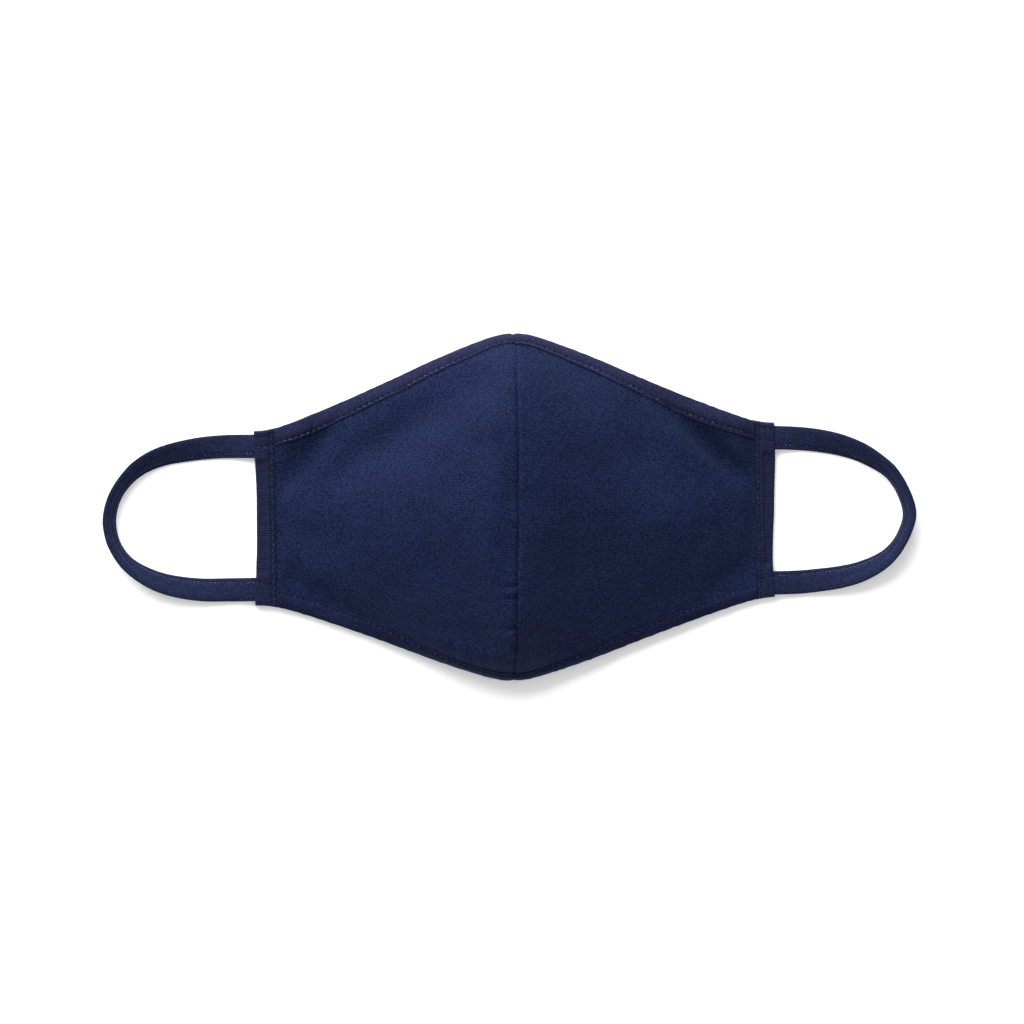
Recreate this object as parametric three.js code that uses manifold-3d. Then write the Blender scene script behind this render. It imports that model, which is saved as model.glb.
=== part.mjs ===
// A cloth face mask as it lies on a table, hollow side down, in millimetres with +Z up.
// Two curved panels meet at a centre seam. Folded bindings cover their upper and lower edges,
// folded hems hold their sides, and a flat strap runs out of each hem as an ear loop.
import * as THREE from 'three';
import { mergeVertices } from 'three/addons/utils/BufferGeometryUtils.js';
import Module from 'manifold-3d';

// The plan of the face, from the centre seam and the middle of its height
const HALF_WIDTH = 103.5;
const NOSE_REACH = 69.2;
const CHIN_REACH = 69.7;
const SIDE_TOP = 32;
const SIDE_BOTTOM = 37.6;

// The heights of the dome above the side hems, and how sharply it falls to its edges
const CROWN_HEIGHT = 34;
const NOSE_LIFT = 7;
const CHIN_LIFT = 4;
const NOSE_FALL = 4.2;
const CHIN_FALL = 4.7;
const SIDE_FALL = 2.6;

// Cloth thicknesses, folded widths and the clearance between touching pieces
const PANEL_WALL = 1.4;
const FOLD_WALL = 1;
const BINDING_WIDTH = 6.6;
const BINDING_ROUND = 0.5;
const HEM_WIDTH = 7.6;
const HEM_ROUND = 0.8;
const PANEL_GRIP = 2.4;
const CLEARANCE = 0.3;

// The ear straps: section, reach past the hems, and the heights at which they leave the hems
const STRAP_WIDTH = 9.4;
const STRAP_THICKNESS = 2;
const STRAP_ROUND = 0.5;
const STRAP_TILT = 62;
const LEFT_LOOP_REACH = 58.6;
const RIGHT_LOOP_REACH = 53.7;
const LOOP_TOP = 26;
const LOOP_BOTTOM = 31.2;
const STRAP_SETTLE = 12;

// Steps across and up a panel, and along a strap
const PANEL_COLUMNS = 18;
const PANEL_ROWS = 28;
const STRAP_STEPS = 38;

// Both outline edges: rise is the share of the way from the side corner to the peak.
const EDGE = [
  { across: 0, rise: 1 },
  { across: 0.06, rise: 0.982 },
  { across: 0.14, rise: 0.913 },
  { across: 0.3, rise: 0.74 },
  { across: 0.5, rise: 0.494 },
  { across: 0.7, rise: 0.258 },
  { across: 0.9, rise: 0.048 },
  { across: 1, rise: 0 },
];

// The crown line from the seam to a hem, with height as a share of the crown height
const CROWN = [
  { across: 0, height: 1 },
  { across: 0.12, height: 0.91 },
  { across: 0.26, height: 0.75 },
  { across: 0.42, height: 0.54 },
  { across: 0.58, height: 0.34 },
  { across: 0.74, height: 0.175 },
  { across: 0.88, height: 0.06 },
  { across: 1, height: 0 },
];

// Soft dents pressed into the panels. Across and up place the middle, as shares of the half width
// and of the half height there, turn is its direction in degrees, long and wide are shares of the
// half width, and deep is a share of the crown height. A negative depth is a raised fold.
const DENTS = [
  { side: -1, across: 0.5, up: 0.7, turn: -27, long: 0.24, wide: 0.06, deep: 0.05 },
  { side: -1, across: 0.87, up: 0.58, turn: -14, long: 0.1, wide: 0.05, deep: 0.035 },
  { side: -1, across: 0.47, up: -0.72, turn: 22, long: 0.4, wide: 0.06, deep: 0.045 },
  { side: -1, across: 0.2, up: -0.5, turn: 70, long: 0.2, wide: 0.1, deep: 0.03 },
  { side: 1, across: 0.84, up: 0.5, turn: -20, long: 0.13, wide: 0.07, deep: 0.05 },
  { side: 1, across: 0.6, up: -0.48, turn: 43, long: 0.16, wide: 0.06, deep: 0.05 },
  { side: 1, across: 0.59, up: 0.7, turn: -35, long: 0.12, wide: 0.05, deep: -0.03 },
  { side: 1, across: 0.3, up: 0.62, turn: -30, long: 0.2, wide: 0.08, deep: 0.035 },
];

// The middle line of each strap, from its upper end to its lower end. Out is a share of the loop's
// reach, and up is a share of the way from the lower end's height to the upper end's.
const LEFT_ROUTE = [
  { out: 0, up: 1 },
  { out: 0.25, up: 1 },
  { out: 0.45, up: 0.98 },
  { out: 0.65, up: 0.935 },
  { out: 0.79, up: 0.865 },
  { out: 0.89, up: 0.77 },
  { out: 0.965, up: 0.65 },
  { out: 1, up: 0.5 },
  { out: 0.98, up: 0.36 },
  { out: 0.935, up: 0.265 },
  { out: 0.865, up: 0.18 },
  { out: 0.73, up: 0.09 },
  { out: 0.6, up: 0.04 },
  { out: 0.4, up: 0.005 },
  { out: 0.2, up: 0 },
  { out: 0, up: 0 },
];
const RIGHT_ROUTE = [
  { out: 0, up: 1 },
  { out: 0.2, up: 0.99 },
  { out: 0.35, up: 0.972 },
  { out: 0.5, up: 0.94 },
  { out: 0.65, up: 0.886 },
  { out: 0.79, up: 0.805 },
  { out: 0.87, up: 0.74 },
  { out: 0.955, up: 0.61 },
  { out: 1, up: 0.45 },
  { out: 0.95, up: 0.3 },
  { out: 0.87, up: 0.19 },
  { out: 0.78, up: 0.12 },
  { out: 0.63, up: 0.053 },
  { out: 0.48, up: 0.018 },
  { out: 0.33, up: 0 },
  { out: 0.18, up: -0.012 },
  { out: 0, up: -0.015 },
];

// How far a strap has rolled onto its inner edge, as a share of its full tilt along its length
const ROLL = [
  { along: 0, tilt: 0 },
  { along: 0.14, tilt: 0.2 },
  { along: 0.28, tilt: 0.62 },
  { along: 0.4, tilt: 0.97 },
  { along: 0.5, tilt: 1 },
  { along: 0.6, tilt: 0.97 },
  { along: 0.72, tilt: 0.55 },
  { along: 0.86, tilt: 0.15 },
  { along: 1, tilt: 0 },
];

const HEM_INNER = HALF_WIDTH - HEM_WIDTH;
const PANEL_SIDE = HEM_INNER + PANEL_GRIP;
const HEM_THICKNESS = STRAP_THICKNESS + 2 * (FOLD_WALL + CLEARANCE);
const HEM_MIDDLE = HEM_THICKNESS / 2;
const SLOPE_STEP = 0.05;

const { clamp, lerp, smoothstep, degToRad } = THREE.MathUtils;

const wasm = await Module();
wasm.setup();

// The slope of a table's curve at one of its rows. A level table ends flat.
function rowSlope(rows, place, value, row, level) {
  const before = Math.max(row - 1, 0);
  const after = Math.min(row + 1, rows.length - 1);
  if (level && after - before < 2) return 0;
  return (rows[after][value] - rows[before][value]) / (rows[after][place] - rows[before][place]);
}

// The value of a smooth curve through a table's rows
function readTable(rows, place, value, at, level) {
  let row = 0;
  while (row < rows.length - 2 && rows[row + 1][place] < at) row += 1;
  const span = rows[row + 1][place] - rows[row][place];
  const t = clamp((at - rows[row][place]) / span, 0, 1);
  const startSlope = rowSlope(rows, place, value, row, level) * span;
  const endSlope = rowSlope(rows, place, value, row + 1, level) * span;
  const rise = rows[row + 1][value] - rows[row][value];
  const curve = 3 * rise - 2 * startSlope - endSlope;
  const turn = startSlope + endSlope - 2 * rise;
  return rows[row][value] + t * (startSlope + t * (curve + t * turn));
}

// The outline's height in plan at a distance from the seam, on the nose (1) or chin (-1) edge
function outline(distance, edge) {
  const rise = readTable(EDGE, 'across', 'rise', distance / HALF_WIDTH, true);
  const corner = edge > 0 ? SIDE_TOP : SIDE_BOTTOM;
  const peak = edge > 0 ? NOSE_REACH : CHIN_REACH;
  return edge * lerp(corner, peak, rise);
}

// The cosine of the outline's angle to the X axis
function outlineCosine(distance, edge) {
  const step = outline(distance + SLOPE_STEP, edge) - outline(distance, edge);
  return SLOPE_STEP / Math.hypot(SLOPE_STEP, step);
}

// The depth of all dents of one side at a place, where up runs from -1 at the chin edge to 1
function dentDepth(side, distance, y, up) {
  let depth = 0;
  for (const dent of DENTS) {
    if (dent.side !== side) continue;
    const middleX = dent.across * HALF_WIDTH;
    const middleY = lerp(outline(middleX, -1), outline(middleX, 1), (dent.up + 1) / 2);
    const angle = degToRad(dent.turn);
    const dx = distance - middleX;
    const dy = y - middleY;
    const along = (dx * Math.cos(angle) + dy * Math.sin(angle)) / (dent.long * HALF_WIDTH);
    const beside = (dy * Math.cos(angle) - dx * Math.sin(angle)) / (dent.wide * HALF_WIDTH);
    depth += dent.deep * CROWN_HEIGHT * Math.exp(-along * along - beside * beside);
  }
  const towardsHem = smoothstep(HEM_INNER - distance, 0, HEM_WIDTH);
  const towardsEdge = 1 - Math.abs(up) ** NOSE_FALL;
  return depth * towardsHem * Math.max(towardsEdge, 0);
}

// The height of the middle of the panel's cloth
function surface(side, distance, y) {
  const low = outline(distance, -1);
  const high = outline(distance, 1);
  const up = clamp((2 * y - low - high) / (high - low), -1, 1);
  const share = clamp(distance / HEM_INNER, 0, 1);
  const crown = CROWN_HEIGHT * readTable(CROWN, 'across', 'height', share, false);
  const nearSeam = (1 - share) ** 4;
  const lift = (up > 0 ? NOSE_LIFT : CHIN_LIFT) * (1 - share) ** 1.5;
  const edge = Math.min(lift, crown);
  const fall = lerp(SIDE_FALL, up > 0 ? NOSE_FALL : CHIN_FALL, nearSeam);
  const dome = edge + (crown - edge) * (1 - Math.abs(up) ** fall);
  return HEM_MIDDLE + dome - dentDepth(side, distance, y, up);
}

// How much longer a wall is when it is measured straight up instead of square to the cloth
function uprightFactor(side, distance, y, inward) {
  const here = surface(side, distance, y);
  const acrossSlope = (surface(side, distance + SLOPE_STEP, y) - here) / SLOPE_STEP;
  const upSlope = (surface(side, distance, y - inward * SLOPE_STEP) - here) / SLOPE_STEP;
  return Math.hypot(1, acrossSlope, upSlope);
}

// A point at a signed distance from the middle of the cloth, measured square to it
function clothPoint(side, distance, y, offset) {
  const inward = y > 0 ? 1 : -1;
  const z = surface(side, distance, y) + offset * uprightFactor(side, distance, y, inward);
  return new THREE.Vector3(side * distance, y, z);
}

// A closed solid through rings of points, its two flat ends cut into triangles by their outlines
function loft(rings, startOutline, endOutline) {
  const count = rings[0].length;
  const faces = [];
  for (let ring = 0; ring < rings.length - 1; ring += 1) {
    for (let point = 0; point < count; point += 1) {
      const here = ring * count + point;
      const beside = ring * count + ((point + 1) % count);
      faces.push(here, beside, beside + count, here, beside + count, here + count);
    }
  }
  for (const [a, b, c] of THREE.ShapeUtils.triangulateShape(startOutline, [])) {
    faces.push(a, c, b);
  }
  const last = (rings.length - 1) * count;
  for (const [a, b, c] of THREE.ShapeUtils.triangulateShape(endOutline, [])) {
    faces.push(last + a, last + b, last + c);
  }
  const solid = new THREE.BufferGeometry();
  solid.setFromPoints(rings.flat());
  solid.setIndex(faces);
  return solid;
}

// A loft along X of rings that each lie in an upright plane, wound to face out on either side
function loftAcross(side, rings) {
  const ordered = side > 0 ? rings : rings.reverse();
  const outlineOf = (ring) => ring.map((point) => new THREE.Vector2(point.y, point.z));
  return loft(ordered, outlineOf(ordered[0]), outlineOf(ordered.at(-1)));
}

// The distances from the seam at which the panels and bindings have a section
function stations() {
  const first = CLEARANCE / 2;
  const last = HEM_INNER - CLEARANCE;
  return Array.from({ length: PANEL_COLUMNS + 1 }, (_, i) => lerp(first, last, i / PANEL_COLUMNS));
}

// The panel's own edge in plan, inside the fold of the binding
function panelEdge(distance, edge) {
  return outline(distance, edge) - (edge * (FOLD_WALL + CLEARANCE)) / outlineCosine(distance, edge);
}

// One panel: a thin wall whose rows crowd together towards the steep edges
function panelGeometry(side) {
  const distances = [...stations(), HEM_INNER, PANEL_SIDE];
  const rings = distances.map((distance) => {
    const low = panelEdge(distance, -1);
    const high = panelEdge(distance, 1);
    const outer = [];
    const inner = [];
    for (let row = 0; row <= PANEL_ROWS; row += 1) {
      const even = (2 * row) / PANEL_ROWS - 1;
      const crowded = (even + Math.sin((even * Math.PI) / 2)) / 2;
      const y = lerp(low, high, (crowded + 1) / 2);
      outer.push(clothPoint(side, distance, y, PANEL_WALL / 2));
      inner.push(clothPoint(side, distance, y, -PANEL_WALL / 2));
    }
    return [...inner, ...outer.reverse()];
  });
  return loftAcross(side, rings);
}

// One binding: a strip folded over the panel's edge, clear of it by the clearance on all sides
function bindingGeometry(side, edge) {
  const slotHalf = PANEL_WALL / 2 + CLEARANCE;
  const outerHalf = slotHalf + FOLD_WALL;
  const rings = stations().map((distance) => {
    const cosine = outlineCosine(distance, edge);
    const rim = outline(distance, edge);
    const slope = uprightFactor(side, distance, rim - edge * BINDING_ROUND, edge);
    const shoulder = rim - (edge * BINDING_ROUND) / cosine;
    const slotEnd = rim - (edge * FOLD_WALL) / cosine;
    const hem = rim - (edge * BINDING_WIDTH) / (slope * cosine);
    const middle = (slotEnd + hem) / 2;
    const section = [
      [hem, outerHalf],
      [middle, outerHalf],
      [shoulder, outerHalf],
      [rim, 0],
      [shoulder, -outerHalf],
      [middle, -outerHalf],
      [hem, -outerHalf],
      [hem, -slotHalf],
      [middle, -slotHalf],
      [slotEnd, -slotHalf],
      [slotEnd, slotHalf],
      [middle, slotHalf],
      [hem, slotHalf],
    ];
    const ring = section.map(([y, offset]) => clothPoint(side, distance, y, offset));
    return edge > 0 ? ring.reverse() : ring;
  });
  return loftAcross(side, rings);
}

// The middle line of a strap, which starts and ends inside the hem's sockets
function strapCurve(side) {
  const route = side < 0 ? LEFT_ROUTE : RIGHT_ROUTE;
  const reach = side < 0 ? LEFT_LOOP_REACH : RIGHT_LOOP_REACH;
  const height = (row) => lerp(-LOOP_BOTTOM, LOOP_TOP, row.up);
  const points = route.map((row) => {
    return new THREE.Vector3(side * (HALF_WIDTH + row.out * reach), height(row), 0);
  });
  const hidden = side * (PANEL_SIDE + CLEARANCE);
  points.unshift(new THREE.Vector3(hidden, height(route[0]), 0));
  points.push(new THREE.Vector3(hidden, height(route.at(-1)), 0));
  return new THREE.CatmullRomCurve3(points, false, 'centripetal');
}

// The outline of a strap's section, with clipped corners: along its width, then its thickness
function strapSection() {
  const w = STRAP_WIDTH / 2;
  const t = STRAP_THICKNESS / 2;
  const section = [
    [w, -t + STRAP_ROUND],
    [w, t - STRAP_ROUND],
    [w - STRAP_ROUND, t],
    [0, t],
    [-w + STRAP_ROUND, t],
    [-w, t - STRAP_ROUND],
    [-w, -t + STRAP_ROUND],
    [-w + STRAP_ROUND, -t],
    [0, -t],
    [w - STRAP_ROUND, -t],
  ];
  return section.map(([width, thickness]) => new THREE.Vector2(width, thickness));
}

// One ear loop: flat in the hem, settling onto the table and rolling onto its inner edge
function loopGeometry(side) {
  const curve = strapCurve(side);
  const section = strapSection();
  const up = new THREE.Vector3(0, 0, 1);
  const rings = [];
  for (let step = 0; step <= STRAP_STEPS; step += 1) {
    const along = step / STRAP_STEPS;
    const centre = curve.getPointAt(along);
    const tangent = curve.getTangentAt(along);
    const free = Math.abs(centre.x) - HALF_WIDTH;
    const loose = smoothstep(free, 0, STRAP_SETTLE);
    const tilt = degToRad(STRAP_TILT) * loose * readTable(ROLL, 'along', 'tilt', along, true);
    const settled = (STRAP_WIDTH * Math.sin(tilt) + STRAP_THICKNESS * Math.cos(tilt)) / 2;
    centre.z = lerp(HEM_MIDDLE, settled, loose);
    const outward = new THREE.Vector3().crossVectors(tangent, up).multiplyScalar(-side);
    const wide = outward.clone().multiplyScalar(Math.cos(tilt)).addScaledVector(up, Math.sin(tilt));
    const thick = up.clone().multiplyScalar(Math.cos(tilt)).addScaledVector(outward, -Math.sin(tilt));
    rings.push(
      section.map((point) => {
        return centre.clone().addScaledVector(wide, point.x).addScaledVector(thick, point.y);
      }),
    );
  }
  return loft(side > 0 ? rings : rings.reverse(), section, section);
}

// A solid that can be joined and cut, from a closed geometry
function toSolid(geometry) {
  const bare = geometry.clone();
  bare.deleteAttribute('normal');
  bare.deleteAttribute('uv');
  const merged = mergeVertices(bare);
  const mesh = new wasm.Mesh({
    numProp: 3,
    vertProperties: merged.attributes.position.array,
    triVerts: Uint32Array.from(merged.index.array),
  });
  return new wasm.Manifold(mesh);
}

// A geometry from a solid that has been cut
function toGeometry(solid) {
  const mesh = solid.getMesh();
  const geometry = new THREE.BufferGeometry();
  geometry.setAttribute('position', new THREE.BufferAttribute(mesh.vertProperties, 3));
  geometry.setIndex(new THREE.BufferAttribute(mesh.triVerts, 1));
  return geometry;
}

// A box between two distances from the seam, as a solid that can be cut away
function boxSolid(side, near, far, y, depth, height) {
  const box = new THREE.BoxGeometry(far - near, depth, height);
  box.translate((side * (near + far)) / 2, y, HEM_MIDDLE);
  return toSolid(box);
}

// One side hem: a flat folded bar with a slot for the panel's edge and a socket for each strap end
function hemGeometry(side) {
  const distances = [HEM_INNER, HALF_WIDTH - HEM_ROUND, HALF_WIDTH];
  const rings = distances.map((distance) => {
    const round = distance < HALF_WIDTH ? 0 : HEM_ROUND;
    const low = outline(distance, -1) + round;
    const high = outline(distance, 1) - round;
    const corners = [
      [low, round],
      [high, round],
      [high, HEM_THICKNESS - round],
      [low, HEM_THICKNESS - round],
    ];
    return corners.map(([y, z]) => new THREE.Vector3(side * distance, y, z));
  });
  const length = NOSE_REACH + CHIN_REACH;
  const slotHeight = PANEL_WALL + 2 * CLEARANCE;
  const socketHeight = STRAP_THICKNESS + 2 * CLEARANCE;
  const socketWidth = STRAP_WIDTH + 2 * CLEARANCE;
  const slotEnd = PANEL_SIDE + CLEARANCE;
  const curve = strapCurve(side);
  let hem = toSolid(loftAcross(side, rings));
  hem = hem.subtract(boxSolid(side, HEM_INNER - HEM_WIDTH, slotEnd, 0, length, slotHeight));
  for (const end of [curve.getPoint(0), curve.getPoint(1)]) {
    const outside = HALF_WIDTH + HEM_WIDTH;
    hem = hem.subtract(boxSolid(side, PANEL_SIDE, outside, end.y, socketWidth, socketHeight));
  }
  return toGeometry(hem);
}

// A named mesh in its own cloth
function piece(name, geometry, colour) {
  const material = new THREE.MeshStandardMaterial({ color: colour, roughness: 0.9, metalness: 0 });
  const mesh = new THREE.Mesh(geometry, material);
  mesh.name = name;
  return mesh;
}

const mask = new THREE.Group();
for (const [side, sideName] of [[-1, 'left'], [1, 'right']]) {
  mask.add(piece(`panel_${sideName}`, panelGeometry(side), '#232c4a'));
  mask.add(piece(`nose_binding_${sideName}`, bindingGeometry(side, 1), '#292d4b'));
  mask.add(piece(`chin_binding_${sideName}`, bindingGeometry(side, -1), '#262a46'));
  mask.add(piece(`side_hem_${sideName}`, hemGeometry(side), '#292d49'));
  mask.add(piece(`ear_loop_${sideName}`, loopGeometry(side), '#272e49'));
}

// The origin is under the middle of the whole mask, on the table.
const bounds = new THREE.Box3().setFromObject(mask);
const centre = bounds.getCenter(new THREE.Vector3());
mask.position.set(-centre.x, -centre.y, -bounds.min.z);

export default mask;
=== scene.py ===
import math

import bpy
import numpy as np
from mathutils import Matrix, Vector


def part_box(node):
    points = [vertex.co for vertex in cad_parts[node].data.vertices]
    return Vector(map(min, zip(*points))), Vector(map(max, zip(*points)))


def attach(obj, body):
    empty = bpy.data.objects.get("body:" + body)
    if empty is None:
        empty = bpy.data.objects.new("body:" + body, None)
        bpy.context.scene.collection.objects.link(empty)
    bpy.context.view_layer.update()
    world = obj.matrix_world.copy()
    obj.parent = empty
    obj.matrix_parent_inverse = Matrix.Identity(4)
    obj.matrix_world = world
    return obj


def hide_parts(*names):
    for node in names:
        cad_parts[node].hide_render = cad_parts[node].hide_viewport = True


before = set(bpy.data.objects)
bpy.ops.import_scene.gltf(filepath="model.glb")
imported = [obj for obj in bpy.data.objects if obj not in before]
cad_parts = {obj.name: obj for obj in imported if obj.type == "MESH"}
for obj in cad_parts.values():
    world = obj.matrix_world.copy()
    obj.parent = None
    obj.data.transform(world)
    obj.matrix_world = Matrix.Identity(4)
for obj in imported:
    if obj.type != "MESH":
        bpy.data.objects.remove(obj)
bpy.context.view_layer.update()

# The view
# The mask lies on a white table and is seen from straight above, nose edge up, turned a little
# in the picture. The lens is long, so the raised seam hardly grows.
MM = 0.001
nose_reach = 69.2
picture_width = 409.6 * MM
picture_left = 1.4 * MM
picture_down = 1.98 * MM
picture_turn = math.radians(-0.96)
camera_height = 2.4

seam_x = (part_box("panel_left")[1].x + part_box("panel_right")[0].x) / 2
middle_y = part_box("nose_binding_left")[1].y - nose_reach * MM

camera_data = bpy.data.cameras.new("camera")
camera_data.sensor_width = 36
camera_data.lens = camera_data.sensor_width * camera_height / picture_width
camera = bpy.data.objects.new("camera", camera_data)
camera.location = (seam_x - picture_left, middle_y - picture_down, camera_height)
camera.rotation_euler = (0, 0, picture_turn)
bpy.context.scene.collection.objects.link(camera)
bpy.context.scene.camera = camera

# The face panels
# Two mirrored pieces of soft navy cotton jersey, cut with a curved edge and sewn together down the
# middle, so that the seam stands up as a ridge. The cloth is matt, with a fine knit, and it keeps
# soft dents where it was folded and small puckers where the seam draws it in. Sizes without MM
# are in millimetres.
half_width = 103.5
chin_reach = 69.3
side_top = 32
side_bottom = 37.6
hem_width = 7.6
panel_grip = 2.4
hem_inner = half_width - hem_width
hem_middle = 2.3
crown_height = 34
nose_lift = 7
chin_lift = 4
nose_fall = 4.2
chin_fall = 4.3
side_fall = 2.6
above_table = 1.24
panel_wall = 1.4
fold_wall = 1
clearance = 0.3
seam_lap = 0.03
seam_depth = 1.6
seam_round = 0.85
pucker_pitch = 5.8
seam_hold = 7
edge_hold = 12
edge_pucker = 0.16
# Where the chin end of the seam is drawn in: added reach and height of its puckers, by side
drawn_puckers = {-1: (2.5, 0.4), 1: (0, 0.15)}
# Seed, height and length of the soft waves all over the cloth
soft_waves = [(41, 0.22, 24), (51, 0.07, 9)]
panel_columns = 170
panel_rows = 220

# Across the half face and rise of both outline edges, as shares
edge_rise = [
    (0, 1),
    (0.06, 0.982),
    (0.14, 0.913),
    (0.3, 0.74),
    (0.5, 0.494),
    (0.7, 0.258),
    (0.9, 0.048),
    (1, 0),
]
# Across the half face and height of the crown line, as shares
crown_line = [
    (0, 1),
    (0.12, 0.91),
    (0.26, 0.75),
    (0.42, 0.54),
    (0.58, 0.34),
    (0.74, 0.175),
    (0.88, 0.06),
    (1, 0),
]
# Share of the way up the face, and how far the seam lies to the right there
seam_bow = [
    (-1, -2.2),
    (-0.9, -1.6),
    (-0.78, -0.8),
    (-0.56, 0),
    (-0.32, 0.5),
    (-0.1, 0.9),
    (0.2, 1.4),
    (0.5, 1.6),
    (0.78, 1.3),
    (0.92, 1),
    (1, 0.3),
]
# Dents: side, across, up, turn in degrees, length, width and depth. Across, length and width are
# shares of the half face, up goes from -1 at the chin edge to 1 at the nose edge, and the depth is
# in millimetres. A negative one is raised. The ones at 0 across run along the seam.
dents = [
    (-1, 0, -0.1, 90, 0.9, 0.055, 0.9),
    (-1, 0, -0.55, 90, 0.2, 0.085, 1.2),
    (-1, 0.41, 0.59, -33, 0.3, 0.08, 6.7),
    (-1, 0.83, 0.53, -46, 0.12, 0.039, 6.6),
    (-1, 0.69, -0.86, 32, 0.32, 0.052, 5.1),
    (-1, 0.32, -0.97, 32, 0.33, 0.03, 1.5),
    (-1, 0.13, -0.93, 20, 0.3, 0.061, -5),
    (-1, 0.39, -0.03, 1, 0.5, 0.207, -4.7),
    (-1, 0.88, 0.5, 60, 0.09, 0.055, 1.6),
    (-1, 0.19, -0.51, 60, 0.31, 0.103, 3.4),
    (-1, 0.19, 0.81, 30, 0.15, 0.089, 0.6),
    (-1, 0.8, -0.31, 0, 0.16, 0.084, 0.6),
    (-1, 0.055, -0.86, 25, 0.06, 0.022, -1.3),
    (-1, 0.03, -0.78, 20, 0.04, 0.018, 0.8),
    (1, 0, -0.1, 90, 0.9, 0.055, 0.9),
    (1, 0, -0.55, 90, 0.2, 0.085, 1.2),
    (1, 0.76, 0.58, -42, 0.22, 0.042, 6.7),
    (1, 0.91, 0.84, -26, 0.11, 0.03, 1.5),
    (1, 0.63, 0.61, -52, 0.16, 0.04, -1.4),
    (1, 0.48, 0.39, -39, 0.09, 0.062, 1.4),
    (1, 0.52, -0.14, 34, 0.21, 0.081, -0.8),
    (1, 0.6, -0.57, 45, 0.14, 0.073, 1.8),
    (1, 0.83, -0.72, 18, 0.17, 0.073, 3.2),
    (1, 0.14, -0.81, 18, 0.08, 0.036, 1.3),
    (1, 0.47, -0.09, -8, 0.41, 0.216, -1.4),
    (1, 0.91, 0.53, -57, 0.32, 0.05, -1.8),
    (1, 0.21, 0.83, -20, 0.1, 0.068, 0.9),
    (1, 0.17, -0.46, 51, 0.21, 0.266, 6.3),
    (1, 0.72, 0.01, 61, 0.5, 0.214, -3),
]

# Where a bound edge is lifted or rolled down: side, edge, across and length as shares of the half
# face, height in millimetres, and how far inside the edge the change starts and ends
edge_lifts = [
    (-1, 1, 0.83, 0.12, 2.2, 4.5, 12),
    (1, 1, 0.84, 0.15, 3, 4.5, 12),
    (-1, -1, 0, 0.45, -1.4, -1, 8),
    (1, -1, 0, 0.45, -1.4, -1, 8),
]


def smooth(rows, level=True):
    """A smooth curve through rows of place and value, flat at both ends where it is level."""
    place, value = np.array(rows, float).T
    slope = np.empty_like(value)
    slope[1:-1] = (value[2:] - value[:-2]) / (place[2:] - place[:-2])
    slope[0] = 0 if level else (value[1] - value[0]) / (place[1] - place[0])
    slope[-1] = 0 if level else (value[-1] - value[-2]) / (place[-1] - place[-2])

    def read(at):
        at = np.clip(at, place[0], place[-1])
        row = np.clip(np.searchsorted(place, at) - 1, 0, len(place) - 2)
        span = place[row + 1] - place[row]
        t = (at - place[row]) / span
        held = value[row] * (1 + 2 * t) * (1 - t) ** 2 + value[row + 1] * t**2 * (3 - 2 * t)
        bent = slope[row] * t * (1 - t) ** 2 - slope[row + 1] * t**2 * (1 - t)
        return held + bent * span

    return read


def ease(at, start, end):
    """Rises smoothly from 0 at the start to 1 at the end."""
    t = np.clip((at - start) / (end - start), 0, 1)
    return t * t * (3 - 2 * t)


def bump_at(distance, width):
    """A smooth hump of unit height."""
    return np.exp(-((distance / width) ** 2))


def rounded(depth, radius):
    """The rise of a rounded edge at a depth in from it, from 0 to 1."""
    return np.sqrt(1 - (1 - np.clip(depth / radius, 0, 1)) ** 2)


def ripples(seed, x, y, length, waves=14):
    """Soft random waves of about one length and about unit height."""
    random = np.random.default_rng(seed)
    total = np.zeros(np.broadcast(x, y).shape)
    for _ in range(waves):
        turn = random.uniform(0, math.tau)
        pitch = math.tau / (length * random.uniform(0.7, 1.6))
        phase = random.uniform(0, math.tau)
        total += np.sin(pitch * (x * math.cos(turn) + y * math.sin(turn)) + phase)
    return total / math.sqrt(waves)


rise_along = smooth(edge_rise)
bow_along = smooth(seam_bow, level=False)
crown_along = smooth(crown_line, level=False)


def edge_line(away, edge):
    """The plan height of the nose (1) or chin (-1) edge at a distance from the seam."""
    corner = side_top if edge > 0 else side_bottom
    peak = nose_reach if edge > 0 else chin_reach
    return edge * (corner + (peak - corner) * rise_along(away / half_width))


def edge_cosine(away, edge):
    """The cosine of the edge's angle to the X axis."""
    step = 0.05
    return step / np.hypot(step, edge_line(away + step, edge) - edge_line(away, edge))


def dent_depth(side, away, y, up):
    """How far the dents press the cloth down."""
    depth = np.zeros(np.broadcast(away, y).shape)
    for dent_side, across, height, turn, length, width, deep in dents:
        if dent_side != side:
            continue
        middle = across * half_width
        low, high = edge_line(middle, -1), edge_line(middle, 1)
        dx = away - middle
        dy = y - (low + (high - low) * (height + 1) / 2)
        angle = math.radians(turn)
        along = (dx * math.cos(angle) + dy * math.sin(angle)) / (length * half_width)
        beside = (dy * math.cos(angle) - dx * math.sin(angle)) / (width * half_width)
        at_seam = bump_at(away, seam_hold) if across else 0
        depth += deep * np.exp(-along**2 - beside**2) * (1 - at_seam)
    return depth * ease(hem_inner - away, 0, hem_width) * (1 - np.abs(up) ** edge_hold)


def seam_puckers(side, away, y):
    """Small level wrinkles beside the centre seam, drawn in by its stitches."""
    added_reach, added_height = drawn_puckers[side]
    drawn = ease(-y, 20, 32) * ease(-y, 64, 56)
    reach = 3 + 1.5 * ripples(11 + side, 0, y, 9) + added_reach * drawn
    height = 0.12 + added_height * drawn
    waves = ripples(21 + side, 0, y, 4.6) + 1.2 * drawn * np.sin(y * math.tau / pucker_pitch)
    return height * waves * bump_at(away, np.maximum(reach, 1.2))


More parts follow.
